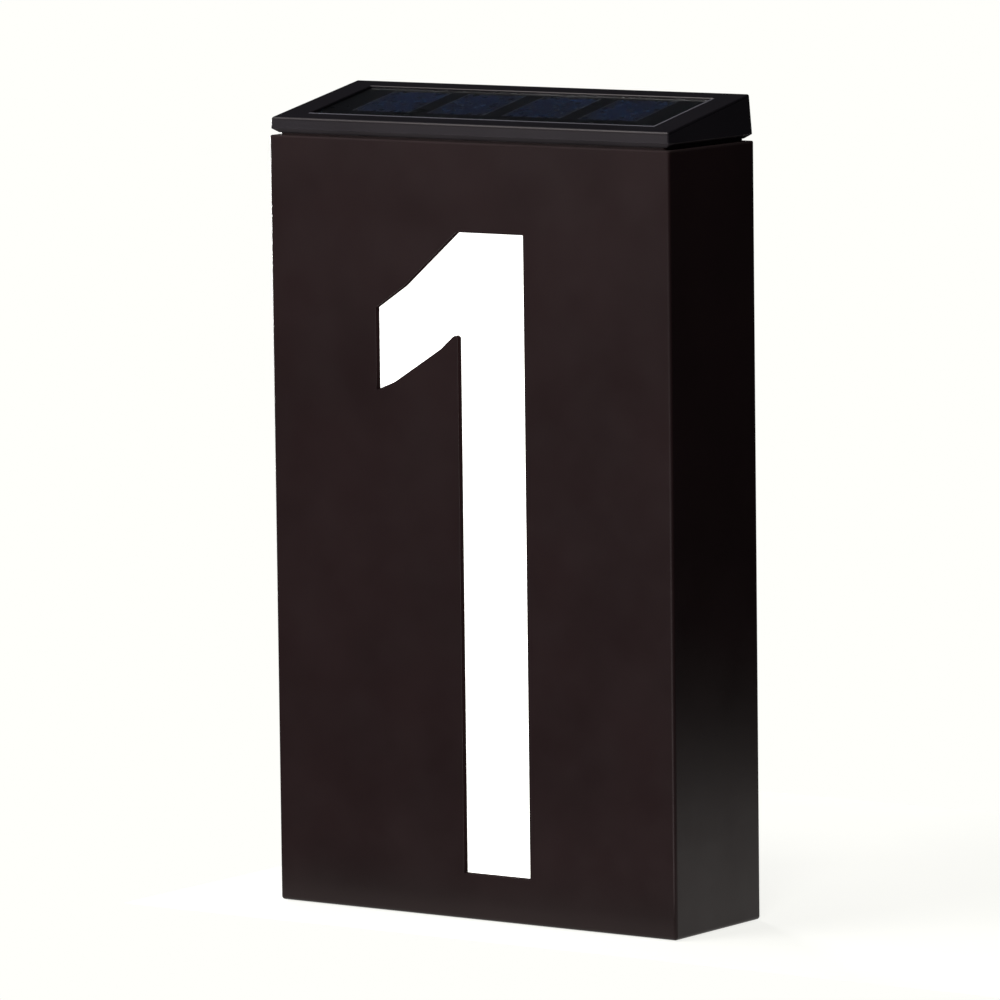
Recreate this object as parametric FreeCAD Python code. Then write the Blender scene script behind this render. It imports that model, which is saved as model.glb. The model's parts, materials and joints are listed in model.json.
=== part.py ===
import FreeCAD, Part

import math
import os

# Illuminated house number sign: a flat box that shows one lit numeral, with a plug-in
# solar head on top.  Millimetres, +Z up, the numeral faces -Y, and the origin is the
# middle of the footprint on the surface that the box stands on.

# ---------------------------------------------------------------- housing
body_width = 112.0
body_depth = 35.0
body_height = 180.0
wall = 1.5
front_edge_radius = 0.8
rim_radius = 0.35
seat_drop = 8.0            # rim of the housing down to the ledges that carry the head
ledge_reach = 2.2          # how far a ledge stands in from the side wall
ledge_thickness = 1.5
ledge_end_gap = 2.2        # front and back ends of a seat ledge to the walls
weep_diameter = 3.0
weep_inset = 16.0          # side of the box to the middle of a weep hole
weep_from_back = 9.5

# ---------------------------------------------------------------- numeral
numeral_bottom = 10.7
numeral_top_margin = 20.6  # top of the numeral to the rim of the box
stem_width = 18.65
stem_right = 15.65         # right edge of the stem, from the middle of the box
flag_reach = 23.1          # stem's left edge to the tip of the flag
flag_top_drop = 18.4       # top of the numeral down to the upper corner of the flag's tip
flag_tip_height = 19.1
upper_bend_run = 8.1       # tip of the flag to the bend in its upper edge
upper_bend_rise = 5.35
lower_bend_run = 5.2       # tip of the flag to the first bend in its lower edge
lower_bend_rise = 2.1
second_bend_run = 18.3     # and to the second
second_bend_rise = 10.3
armpit_drop = 23.9
armpit_radius = 0.8

# ---------------------------------------------------------------- lit window
stack_gap = 0.1            # play between neighbouring sheets
stack_side_room = 14.0     # side of the box to the side of the lit sheets
stack_bottom = 5.0
diffuser_thickness = 1.5
guide_thickness = 3.0
reflector_thickness = 0.4
tray_thickness = 1.4
tray_lip = 1.4
tray_ear_width = 7.0
tray_ear_height = 9.0
tray_boss_diameter = 5.0
tray_boss_offset = 6.0     # side of the lit sheets to the middle of a boss
tray_boss_low = 42.0
tray_boss_drop = 52.0      # rim of the box down to the upper pair of bosses
tray_boss_floor = 1.0      # plastic left in front of the screws' pilot holes
tray_screw_room = 0.2      # end of a screw to the end of its pilot hole
tray_rib_xs = (-24.0, 0.0, 24.0)
tray_rib_depth = 1.0
tray_rib_low = 11.0
tray_rib_swing_room = 2.4  # ribs' tops to the lowest point of the open battery door
guide_bevel = 0.3
led_gap = 0.6              # light guide's top edge to the lenses of the LEDs

# ---------------------------------------------------------------- back cover
cover_gap = 0.2
gasket_thickness = 0.8
back_boss_diameter = 7.0
back_boss_inset = 5.0      # inside of the side wall to the middle of a boss
back_boss_low = 12.0
back_boss_drop = 9.0       # seat of the head down to the upper pair of bosses
keyhole_inset = 9.5        # inside of the side wall to the middle of a keyhole
keyhole_drop = 42.0        # rim of the box down to the middle of the round entry
keyhole_entry_diameter = 9.0
keyhole_slot_width = 4.6
keyhole_slot_rise = 8.0
pocket_wall = 1.2
pocket_depth = 6.0         # clear depth behind the cover for a screw's head
pocket_margin = 0.8
rib_width = 1.4
rib_depth = 2.2
rib_low = 48.0
rib_drop = 68.0            # rim of the box down to the upper rib

# ---------------------------------------------------------------- screws
back_screw_head = 5.6
back_screw_shank = 3.0
back_screw_length = 11.0
back_screw_sunk = 0.1      # head's face below the cover's
pilot_room = 2.0           # end of a long screw to the end of its pilot hole
small_screw_head = 4.0
small_screw_head_height = 1.3
small_screw_shank = 2.2
screw_play = 0.2           # radial play of a shank in the piece that it clamps
recess_across = 0.9        # width of the cross in a screw's head
recess_depth = 0.6
screw_point = 0.5          # length of a screw's point over its shank's diameter

# ---------------------------------------------------------------- solar head
shadow_gap = 0.55          # rim of the box up to the foot of the head's undercut
undercut_rise = 1.1        # bevel from the neck out to the foot of the fascia
head_inset = 0.2
fascia_height = 3.6        # foot of the undercut to the front edge of the slope
slope_angle = 11.0
head_draft = 3.0
head_edge_radius = 0.45
neck_clearance = 0.2
neck_wall = 2.0
neck_corner_radius = 1.2
rebate = 1.0               # how far the base plate and its gasket cut into the neck's wall
head_skin = 1.2            # plastic left under the solar panel
boss_diameter = 6.0
head_boss_inset = 8.8      # outside of the neck to the middle of a boss
head_boss_front_inset = 8.3  # outside of the neck to the middles of the front pair
head_boss_back_inset = 4.9
head_screw_bite = 6.0      # screw's length past the base plate
head_pilot_room = 0.5
seal_groove_depth = 1.0
seal_height = 1.8
seal_above_seat = 4.4
seal_play = 0.1

# ---------------------------------------------------------------- solar panel
panel_side_border = 7.6    # foot of the head to the side of the panel's bed
panel_width = 24.6
panel_front_border = 5.2
panel_play = 0.15
panel_below_rim = 0.5
tape_thickness = 0.3
backsheet_thickness = 0.7
cell_thickness = 0.25
glass_thickness = 0.6
cell_count = 4
cell_length = 17.4
cell_row_shift = 1.7       # middle of the cells above the middle of the panel
cell_gap = 4.6             # between neighbouring cells
cell_side_margin = 8.1     # outer cells to the sides of the panel's bed
panel_lead_x = 6.0
panel_lead_share = 0.67    # how far up the panel its leads leave it
busbar_width = 0.45
busbar_thickness = 0.05
panel_lip_radius = 0.25

# ---------------------------------------------------------------- base plate and battery
base_thickness = 1.6
base_clearance = 0.15
base_gasket_thickness = 0.8
battery_diameter = 14.2
battery_length = 49.0
battery_button_diameter = 5.2
battery_button_height = 1.2
battery_play = 0.3
battery_back_room = 11.4   # inside of the back cover to the middle of the cell
box_wall = 1.4
spring_room = 5.6
contact_thickness = 0.4
contact_width = 9.0
tab_gap = 0.15             # contact's solder tab to the base plate
tab_solder_drop = 1.2      # underside of the base plate to the end of a battery lead
spring_wire = 0.7
spring_turns = 4
spring_outer = 9.0
spring_inner = 5.6
door_thickness = 1.5
door_gap = 0.25
door_angle_max = 85.0
hinge_pin_diameter = 2.0
hinge_clearance = 0.05
hinge_ear_width = 2.4
hinge_ear_spacing = 40.0
hinge_wall = 1.1
hinge_offset = 0.3         # barrel's clearance to the battery box
heel_back = 0.6            # heel's near edge, ahead of the hinge axis
heel_play = 0.05
heel_length = 12.0
snap_width = 7.0
snap_arm = 1.0             # thickness of the springy arm
snap_gap = 0.15            # nose to the wall of the battery box when shut
snap_nose_reach = 0.5
snap_ridge_reach = 0.3
snap_ridge_height = 1.2
snap_ridge_rise = 3.0      # bottom of the battery box up to the ridge
snap_lift = 0.2            # ridge up to the nose when shut
snap_tab_reach = 0.7       # finger tab at the arm's foot

# ---------------------------------------------------------------- boards
board_length = 46.0
board_width = 19.0
board_thickness = 1.6
board_standoff = 2.4
standoff_diameter = 4.6
board_hole_inset = 2.6
board_pilot_depth = 0.6    # how far the board screws' pilot holes go into the base plate
led_board_end_room = 8.0   # side of the box to the end of the LED board
led_board_width = 5.0
led_board_thickness = 1.0
led_count = 6
led_pitch = 14.0
led_length = 3.5
led_width = 2.8
led_height = 0.8
lead_diameter = 1.2
lead_hole_play = 0.4
lead_rise = 4.2            # height of the leads' loops over the control board
led_lead_x = 3.0           # where the LED board's two leads pass the base plate
panel_pad_inset = 5.75     # end of the control board to the pads of the panel's leads
panel_pad_shift = 0.25
panel_pad_y = -5.0
battery_pad_inset = 2.0
battery_pad_y = 1.8
led_pad_x = 3.8
led_pad_y = -6.6

# ---------------------------------------------------------------- parts on the control board
chip_length = 5.0
chip_width = 4.0
chip_height = 1.4
chip_standoff = 0.2
chip_leg_pitch = 1.27
chip_leg_width = 0.4
chip_leg_thickness = 0.3
chip_leg_reach = 1.0
chip_place = (4.0, -1.0)
inductor_diameter = 5.0
inductor_drum = 4.2
inductor_flange = 0.7
inductor_winding = 1.9
inductor_place = (-9.0, 1.0)
resistor_size = (2.0, 1.25)
resistor_places = ((11.0, -4.0), (11.0, 0.0))
capacitor_size = (3.2, 1.6)
capacitor_places = ((11.0, 4.0), (-2.5, 4.5))

# ---------------------------------------------------------------- switch
switch_inset = 14.3        # outside of the neck to the middle of the switch
switch_y = 5.0
switch_length = 8.6
switch_width = 4.6
switch_height = 4.4
switch_frame_length = 19.6
switch_frame_thickness = 0.5
switch_screw_pitch = 15.0
lever_length = 2.2
lever_width = 1.8
lever_below_base = 2.2
switch_travel = 2.5
switch_play = 0.2
foot_ledge = 0.7           # how far the slider's foot reaches past its lever
foot_height = 1.2
foot_rise = 0.1            # running clearance under and over the foot

# ---------------------------------------------------------------- derived places
half_w = body_width / 2
half_d = body_depth / 2
inner_w = half_w - wall
inner_d = half_d - wall
seat_z = body_height - seat_drop
stem_left = stem_right - stem_width
flag_tip_x = stem_left - flag_reach
numeral_top = body_height - numeral_top_margin
stack_width = body_width - 2 * stack_side_room
tray_boss_x = stack_width / 2 + tray_boss_offset
tray_boss_high = body_height - tray_boss_drop
back_boss_x = inner_w - back_boss_inset
back_boss_heights = (back_boss_low, body_height / 2, seat_z - back_boss_drop)
keyhole_x = inner_w - keyhole_inset
keyhole_height = body_height - keyhole_drop
rib_heights = (rib_low, body_height - rib_drop)

neck_w = inner_w - neck_clearance
neck_d = inner_d - neck_clearance
head_bottom = body_height + shadow_gap
head_w = half_w - head_inset
head_d = half_d - head_inset
draft_tan = math.tan(math.radians(head_draft))
slope_tan = math.tan(math.radians(slope_angle))
slope_cos = math.cos(math.radians(slope_angle))
head_front_y = -head_d + fascia_height * draft_tan
head_front_z = head_bottom + fascia_height
head_boss_x = neck_w - head_boss_inset
head_boss_front = neck_d - head_boss_front_inset
head_boss_back = neck_d - head_boss_back_inset
panel_length = 2 * (head_w - panel_side_border)
cell_pitch = (panel_length - 2 * cell_side_margin + cell_gap) / cell_count
cell_width = cell_pitch - cell_gap
panel_stack = (tape_thickness + backsheet_thickness + cell_thickness + glass_thickness)
recess_floor = panel_below_rim + panel_stack

led_board_y = -inner_d + stack_gap + diffuser_thickness + stack_gap + guide_thickness / 2
base_top = seat_z + base_thickness
stack_top = seat_z - led_board_thickness - led_height - led_gap
guide_front = -inner_d + stack_gap + diffuser_thickness + stack_gap
reflector_front = guide_front + guide_thickness + stack_gap
tray_front = reflector_front + reflector_thickness + stack_gap
tray_back = tray_front + tray_thickness
led_board_length = body_width - 2 * led_board_end_room
switch_x = neck_w - switch_inset

battery_radius = battery_diameter / 2
battery_y = inner_d - battery_back_room
battery_z = seat_z - battery_play - battery_radius
box_inner_length = contact_thickness + battery_button_height + battery_length + spring_room
box_half_x = box_inner_length / 2 + box_wall
box_half_y = battery_radius + battery_play + box_wall
door_top = battery_z - battery_radius - battery_play
door_bottom = door_top - door_thickness
hinge_barrel = hinge_pin_diameter + 2 * hinge_wall
hinge_y = battery_y - box_half_y - hinge_offset - hinge_barrel / 2
hinge_z = door_bottom + hinge_barrel / 2
board_z = base_top + board_standoff
board_top = board_z + board_thickness
tray_rib_high = hinge_z - 2 * box_half_y - hinge_barrel - tray_rib_swing_room


# ---------------------------------------------------------------- small helpers
def vec(x, y, z):
    return FreeCAD.Vector(x, y, z)


def box(x0, x1, y0, y1, z0, z1):
    return Part.makeBox(x1 - x0, y1 - y0, z1 - z0, vec(x0, y0, z0))


def cylinder(diameter, start, end):
    """A round bar from start to end."""
    along = end.sub(start)
    return Part.makeCylinder(diameter / 2, along.Length, start, along)


def cone(start_diameter, end_diameter, start, end):
    along = end.sub(start)
    return Part.makeCone(start_diameter / 2, end_diameter / 2, along.Length, start, along)


def together(first, *others):
    """One solid from pieces that overlap or share faces."""
    return first.fuse(list(others)).removeSplitter()


def edges_where(shape, test):
    """The straight or curved edges whose middle point passes the test."""
    return [edge for edge in shape.Edges if test(edge.CenterOfMass, edge)]


def is_vertical(edge):
    low, high = edge.BoundBox.ZMin, edge.BoundBox.ZMax
    return high - low > 1 and edge.BoundBox.XLength < 1e-3 and edge.BoundBox.YLength < 1e-3


def save(name, shape):
    solids = shape.Solids
    whole = solids[0] if len(solids) == 1 else Part.makeCompound(solids)
    if not whole.isValid():
        print("not valid:", name)
    whole.exportStep("parts/" + name + ".step")


def mirror_x(points):
    """Each (x, y) with its twin on the other side."""
    return [(side * x, y) for x, y in points for side in (-1, 1)]


def flat_ring(outer_w, outer_d, inner_w_, inner_d_, z0, z1, radius=0.0):
    """A rectangular ring with straight walls, its outer corners rounded where a radius is given."""
    outer = box(-outer_w, outer_w, -outer_d, outer_d, z0, z1)
    if radius:
        outer = outer.makeFillet(radius, edges_where(outer, lambda c, e: is_vertical(e)))
    return outer.cut(box(-inner_w_, inner_w_, -inner_d_, inner_d_, z0 - 1, z1 + 1))


# ---------------------------------------------------------------- screws
def cross_recess(diameter, top, inward):
    """Two crossed slots cut into a screw's head; inward points down into the head."""
    reach = diameter * 0.3
    half = recess_across / 2
    side = vec(1, 0, 0)
    other = inward.cross(side)
    cut = None
    for long_way, short_way in ((side, other), (other, side)):
        corner = top.sub(long_way * reach).sub(short_way * half).sub(inward * 0.1)
        face = Part.makePolygon([corner, corner + long_way * 2 * reach,
                                 corner + long_way * 2 * reach + short_way * 2 * half,
                                 corner + short_way * 2 * half, corner])
        slot = Part.Face(face).extrude(inward * (recess_depth + 0.1))
        cut = slot if cut is None else cut.fuse(slot)
    return cut


def countersunk_screw(head_face, inward, head, shank, length):
    """Flat head flush with head_face."""
    sink = (head - shank) / 2
    neck_end = head_face + inward * sink
    tip = head_face + inward * length
    taper = tip - inward * shank * screw_point
    body = together(cone(head, shank, head_face, neck_end),
                    cylinder(shank, neck_end, taper),
                    cone(shank, shank * 0.3, taper, tip))
    return body.cut(cross_recess(head, head_face, inward))


def pan_screw(seat, inward, length):
    """Round head standing on seat, shank of that length beyond it."""
    top = seat - inward * small_screw_head_height
    crown = seat - inward * small_screw_head_height * 0.45
    tip = seat + inward * length
    taper = tip - inward * small_screw_shank * screw_point
    body = together(cylinder(small_screw_head, crown, seat),
                    cone(small_screw_head * 0.62, small_screw_head, top, crown),
                    cylinder(small_screw_shank, seat, taper),
                    cone(small_screw_shank, small_screw_shank * 0.3, taper, tip))
    return body.cut(cross_recess(small_screw_head, top, inward))


def screw_hole(shank, start, end):
    return cylinder(shank + 2 * screw_play, start, end)


# ---------------------------------------------------------------- housing
def numeral_outline(y):
    """Closed wire of the numeral 1 in the plane at y."""
    def spot(x, z):
        return vec(x, y, z)

    tip_high = numeral_top - flag_top_drop
    tip_low = tip_high - flag_tip_height
    armpit_z = numeral_top - armpit_drop
    r = armpit_radius
    bend = r * (1 - math.sqrt(0.5))
    crown = spot(stem_left - r, armpit_z)
    armpit_low = spot(stem_left, armpit_z - r)
    lead_in = [
        armpit_low,
        spot(stem_left, numeral_bottom),
        spot(stem_right, numeral_bottom),
        spot(stem_right, numeral_top),
        spot(stem_left, numeral_top),
        spot(flag_tip_x + upper_bend_run, tip_high + upper_bend_rise),
        spot(flag_tip_x, tip_high),
        spot(flag_tip_x, tip_low),
        spot(flag_tip_x + lower_bend_run, tip_low + lower_bend_rise),
        spot(flag_tip_x + second_bend_run, tip_low + second_bend_rise),
        spot(stem_left - 1.7 * r, armpit_z - 0.4 * r),
        crown]
    edges = [Part.LineSegment(a, b).toShape() for a, b in zip(lead_in, lead_in[1:])]
    edges.append(Part.Arc(crown, spot(stem_left - bend, armpit_z - bend), armpit_low).toShape())
    return Part.Wire(edges)


def back_boss_places():
    return [(side * back_boss_x, z) for z in back_boss_heights for side in (-1, 1)]


def tray_boss_places():
    return [(side * tray_boss_x, z) for z in (tray_boss_low, tray_boss_high) for side in (-1, 1)]


def housing():
    """Front, two sides and a floor in one moulding, open at the top and at the back."""
    shell = box(-half_w, half_w, -half_d, half_d, 0, body_height)

    def outer_edge(c, e):
        along_front = abs(c.y + half_d) < 1e-6 and c.z < body_height - 1
        along_foot = abs(c.z) < 1e-6
        along_back = abs(c.y - half_d) < 1e-6 and c.z < body_height - 1
        return along_front or along_foot or along_back

    shell = shell.makeFillet(front_edge_radius, edges_where(shell, outer_edge))
    hollow = box(-inner_w, inner_w, -inner_d, half_d + 1, wall, body_height + 1)
    shell = shell.cut(hollow)
    numeral = Part.Face(numeral_outline(-half_d - 1)).extrude(vec(0, wall + 2, 0))
    shell = shell.cut(numeral)

    def rim_edge(c, e):
        outside = abs(c.y + half_d) < 1e-6 or abs(abs(c.x) - half_w) < 1e-6
        return abs(c.z - body_height) < 1e-6 and outside

    shell = shell.makeFillet(rim_radius, edges_where(shell, rim_edge))
    back_ledge_y = inner_d - gasket_thickness
    ledge_front = back_ledge_y - ledge_thickness
    ledge_in = inner_w - ledge_reach
    seat_low = seat_z - ledge_thickness
    additions = [box(-inner_w, inner_w, ledge_front, back_ledge_y, wall, wall + ledge_reach)]
    for side in (-1, 1):
        x0, x1 = sorted((side * ledge_in, side * inner_w))
        additions.append(box(x0, x1, ledge_front, back_ledge_y, wall, seat_low))
        additions.append(box(x0, x1, -inner_d + ledge_end_gap, inner_d - ledge_end_gap,
                             seat_low, seat_z))
    for x, z in back_boss_places():
        start = vec(x, -inner_d - wall / 2, z)
        additions.append(cylinder(back_boss_diameter, start, vec(x, inner_d, z)))
        x0, x1 = sorted((x, math.copysign(inner_w + wall / 2, x)))
        web = box(x0, x1, -inner_d - wall / 2, ledge_front, z - wall / 2, z + wall / 2)
        additions.append(web)
    for x, z in tray_boss_places():
        additions.append(cylinder(tray_boss_diameter, vec(x, -inner_d - wall / 2, z),
                                  vec(x, tray_front, z)))
    shell = together(shell, *additions)
    for x, z in back_boss_places():
        depth = back_screw_length + pilot_room
        shell = shell.cut(cylinder(back_screw_shank, vec(x, half_d + 1, z),
                                   vec(x, half_d - depth, z)))
    for x, z in tray_boss_places():
        shell = shell.cut(cylinder(small_screw_shank, vec(x, tray_back + 1, z),
                                   vec(x, -inner_d + tray_boss_floor, z)))
    for x in (weep_inset - half_w, half_w - weep_inset):
        y = half_d - weep_from_back
        shell = shell.cut(cylinder(weep_diameter, vec(x, y, -1), vec(x, y, wall + 1)))
    return shell


# ---------------------------------------------------------------- lit window
def sheet(y, thickness, top, half_width=stack_width / 2):
    return box(-half_width, half_width, y, y + thickness, stack_bottom, top)


def light_guide():
    """Clear plate that carries the LEDs' light down behind the numeral."""
    plate = sheet(guide_front, guide_thickness, stack_top)
    return plate.makeChamfer(guide_bevel, edges_where(
        plate, lambda c, e: abs(c.z - stack_bottom) < 1e-6 and e.BoundBox.XLength > 1))


def light_tray():
    """Moulded plate that presses the sheets forward, with lips round them and four ears."""
    lip_inner = stack_width / 2 + stack_gap
    lip_outer = lip_inner + tray_lip
    lip_bottom = stack_bottom - stack_gap - tray_lip
    plate = box(-lip_outer, lip_outer, tray_front, tray_back, lip_bottom, stack_top)
    pieces = [box(-lip_outer, lip_outer, guide_front, tray_front, lip_bottom,
                  stack_bottom - stack_gap)]
    for side in (-1, 1):
        x0, x1 = sorted((side * lip_inner, side * lip_outer))
        pieces.append(box(x0, x1, guide_front, tray_front, lip_bottom, stack_top))
    for x, z in tray_boss_places():
        outer = x + math.copysign(tray_ear_width / 2, x)
        x0, x1 = sorted((math.copysign(lip_inner, x), outer))
        pieces.append(box(x0, x1, tray_front, tray_back, z - tray_ear_height / 2,
                          z + tray_ear_height / 2))
    tray = together(plate, *pieces)
    for x, z in tray_boss_places():
        tray = tray.cut(screw_hole(small_screw_shank, vec(x, tray_front - 1, z),
                                   vec(x, tray_back + 1, z)))
    ribs = [box(x - rib_width / 2, x + rib_width / 2, tray_back, tray_back + tray_rib_depth,
                tray_rib_low, tray_rib_high) for x in tray_rib_xs]
    return together(tray, *ribs)


def tray_screws():
    length = tray_back + inner_d - tray_boss_floor - tray_screw_room
    return Part.makeCompound([pan_screw(vec(x, tray_back, z), vec(0, -1, 0), length)
                              for x, z in tray_boss_places()])


# ---------------------------------------------------------------- back cover
def keyhole(x, y0, y1):
    """Round entry with a slot above it, cut from y0 to y1."""
    slot_top = keyhole_height + keyhole_slot_rise
    half_slot = keyhole_slot_width / 2
    return together(
        cylinder(keyhole_entry_diameter, vec(x, y0, keyhole_height), vec(x, y1, keyhole_height)),
        box(x - half_slot, x + half_slot, y0, y1, keyhole_height, slot_top),
        cylinder(keyhole_slot_width, vec(x, y0, slot_top), vec(x, y1, slot_top)))


def pocket_limits(x):
    """Inner x and z limits of the closed pocket behind a keyhole."""
    half = keyhole_entry_diameter / 2 + pocket_margin
    low = keyhole_height - half
    high = keyhole_height + keyhole_slot_rise + half
    return x - half, x + half, low, high


def back_cover():
    left, right = -inner_w + cover_gap, inner_w - cover_gap
    plate = box(left, right, inner_d, half_d, wall + cover_gap, body_height)
    plate = plate.makeFillet(rim_radius, edges_where(
        plate, lambda c, e: abs(c.y - half_d) < 1e-6))
    additions = [box(-stack_width / 2, stack_width / 2, inner_d - rib_depth, inner_d,
                     z - rib_width / 2, z + rib_width / 2) for z in rib_heights]
    hollows = []
    for x in (-keyhole_x, keyhole_x):
        x0, x1, z0, z1 = pocket_limits(x)
        additions.append(box(x0 - pocket_wall, x1 + pocket_wall,
                             inner_d - pocket_depth - pocket_wall, inner_d,
                             z0 - pocket_wall, z1 + pocket_wall))
        hollows.append(box(x0, x1, inner_d - pocket_depth, inner_d, z0, z1))
        hollows.append(keyhole(x, inner_d - 0.5, half_d + 1))
    cover = together(plate, *additions)
    for x, z in back_boss_places():
        hollows.append(screw_hole(back_screw_shank, vec(x, inner_d - 1, z),
                                  vec(x, half_d + 1, z)))
        sink = (back_screw_head - back_screw_shank) / 2
        hollows.append(cone(back_screw_head + 2 * screw_play, back_screw_shank + 2 * screw_play,
                            vec(x, half_d + 1e-3, z), vec(x, half_d - sink, z)))
    for hollow in hollows:
        cover = cover.cut(hollow)
    return cover


def back_gasket():
    """Three-sided strip on the ledge: left, foot and right."""
    y0, y1 = inner_d - gasket_thickness, inner_d
    low, high = wall + cover_gap, seat_z - ledge_thickness
    edge = inner_w - cover_gap
    inside = inner_w - ledge_reach
    foot = box(-edge, edge, y0, y1, low, wall + ledge_reach)
    sides = [box(x0, x1, y0, y1, low, high) for x0, x1 in ((-edge, -inside), (inside, edge))]
    gasket = together(foot, *sides)
    for x, z in back_boss_places():
        gasket = gasket.cut(cylinder(back_boss_diameter + 2 * stack_gap, vec(x, y0 - 1, z),
                                     vec(x, y1 + 1, z)))
    return gasket


def back_screws():
    return Part.makeCompound([
        countersunk_screw(vec(x, half_d - back_screw_sunk, z), vec(0, -1, 0), back_screw_head,
                          back_screw_shank, back_screw_length)
        for x, z in back_boss_places()])


# ---------------------------------------------------------------- solar head
def on_slope(shape):
    """Carries a shape drawn at x, distance up the slope, height off the slope to its place."""
    placed = shape.copy()
    placed.Placement = FreeCAD.Placement(
        vec(0, head_front_y, head_front_z),
        FreeCAD.Rotation(vec(1, 0, 0), slope_angle)).multiply(placed.Placement)
    return placed


def slope_box(half_length, start, end, low, high):
    return on_slope(box(-half_length, half_length, start, end, low, high))


def tapered_block(half_x, half_y, z, tall, widen):
    """Block on z whose four sides lean outwards by widen over its height."""
    def corners(w, d, level):
        return [vec(-w, -d, level), vec(w, -d, level), vec(w, d, level), vec(-w, d, level)]

    low = corners(half_x, half_y, z)
    high = corners(half_x + widen, half_y + widen, z + tall)
    loops = [low, high]
    for i in range(4):
        j = (i + 1) % 4
        loops.append([low[i], low[j], high[j], high[i]])
    faces = [Part.Face(Part.makePolygon(loop + loop[:1])) for loop in loops]
    return Part.makeSolid(Part.makeShell(faces))


def drafted_block():
    """The head's outside before the slope is cut."""
    tall = 2 * (fascia_height + body_depth * slope_tan)
    return tapered_block(head_w, head_d, head_bottom, tall, -tall * draft_tan)


def undercut_block():
    """Widens from the neck; what lies outside it is cut from the head's foot."""
    tall = body_depth
    return tapered_block(neck_w, neck_d, head_bottom, tall,
                         tall * (head_w - neck_w) / undercut_rise)


def slope_cutter(depth):
    """Everything above a plane that lies depth under the sloping top."""
    reach = body_width
    return on_slope(box(-reach, reach, -reach, reach, -depth, reach))


def panel_span(play):
    """Start and end of the panel's recess up the slope, less the play."""
    return panel_front_border + play, panel_front_border + panel_width - play


def panel_layer(low, thickness, play=panel_play):
    start, end = panel_span(play)
    return slope_box(panel_length / 2 - play, start, end, low, low + thickness)


def head_boss_places():
    return mirror_x([(head_boss_x, -head_boss_front), (head_boss_x, head_boss_back)])


def panel_lead_places():
    """Where the panel's two leads come down through the head, in x."""
    return (-panel_lead_x, panel_lead_x)


def panel_lead_v():
    return panel_front_border + panel_width * panel_lead_share


def head_cover():
    """Sloping top with a sunk bed for the panel, and the neck that plugs into the housing."""
    top = drafted_block().cut(slope_cutter(0.0))
    corner_edges = edges_where(top, lambda c, e: c.z > head_bottom + 1e-3)
    top = top.makeFillet(head_edge_radius, corner_edges)
    top = top.common(undercut_block())
    neck = box(-neck_w, neck_w, -neck_d, neck_d, seat_z, head_bottom + rim_radius + 0.2)
    neck = neck.makeFillet(neck_corner_radius, edges_where(neck, lambda c, e: is_vertical(e)))
    head = together(top, neck)
    inside_w, inside_d = neck_w - neck_wall, neck_d - neck_wall
    inside = box(-inside_w, inside_w, -inside_d, inside_d, seat_z - 1, head_bottom + body_depth)
    inside = inside.cut(slope_cutter(recess_floor + head_skin))
    head = head.cut(inside)
    bed = slope_box(panel_length / 2, *panel_span(0.0), -recess_floor, 1.0)
    head = head.cut(bed)

    def lip(c, e):
        """The four edges where the bed meets the sloping top."""
        start, end = panel_span(0.0)
        up = (c.y - head_front_y) / slope_cos
        height = (c.z - head_front_z) * slope_cos - (c.y - head_front_y) * slope_cos * slope_tan
        at_end = abs(up - start) < 0.2 or abs(up - end) < 0.2
        at_side = abs(abs(c.x) - panel_length / 2) < 1e-3
        return abs(height) < 1e-3 and (at_side or at_end) and start - 0.3 < up < end + 0.3

    head = head.makeFillet(panel_lip_radius, edges_where(head, lip))
    rebate_w, rebate_d = inside_w + rebate, inside_d + rebate
    head = head.cut(box(-rebate_w, rebate_w, -rebate_d, rebate_d, seat_z - 1,
                        base_top + base_gasket_thickness))
    for x, y in head_boss_places():
        post = cylinder(boss_diameter, vec(x, y, base_top), vec(x, y, head_front_z + body_depth))
        post = post.cut(slope_cutter(recess_floor + head_skin / 2))
        head = together(head, post)
        pilot_end = base_top + head_screw_bite + head_pilot_room
        head = head.cut(cylinder(small_screw_shank, vec(x, y, base_top - 1),
                                 vec(x, y, pilot_end)))
    groove_low = seat_z + seal_above_seat - seal_play
    groove_high = groove_low + seal_height + 2 * seal_play
    groove_w, groove_d = neck_w - seal_groove_depth, neck_d - seal_groove_depth
    head = head.cut(flat_ring(inner_w + 1, inner_d + 1, groove_w, groove_d,
                              groove_low, groove_high))
    for x in panel_lead_places():
        hole = box(x - lead_diameter, x + lead_diameter, panel_lead_v() - lead_diameter,
                   panel_lead_v() + lead_diameter, -recess_floor - 2 * head_skin, 0)
        head = head.cut(on_slope(hole))
    return head


def neck_seal():
    """Rubber ring in the neck's groove."""
    low = seat_z + seal_above_seat
    return flat_ring(inner_w - seal_play, inner_d - seal_play, neck_w - seal_groove_depth,
                     neck_d - seal_groove_depth, low, low + seal_height, neck_corner_radius)


def panel_levels():
    """Heights off the slope of the tape, backsheet, cells and glass, from the bottom up."""
    tape = -recess_floor
    backsheet = tape + tape_thickness
    cells = backsheet + backsheet_thickness
    glass = cells + cell_thickness
    return tape, backsheet, cells, glass


def cell_middles():
    first = -(cell_count - 1) * cell_pitch / 2
    return [first + index * cell_pitch for index in range(cell_count)]


def cell_span():
    middle = panel_front_border + panel_width / 2 + cell_row_shift
    return middle - cell_length / 2, middle + cell_length / 2


def cell_blank(middle, grow, level, thickness):
    start, end = cell_span()
    return box(middle - cell_width / 2 - grow, middle + cell_width / 2 + grow,
               start - grow, end + grow, level, level + thickness)


def solar_cell(middle):
    level = panel_levels()[2]
    return on_slope(cell_blank(middle, 0.0, level, cell_thickness - busbar_thickness))


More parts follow.
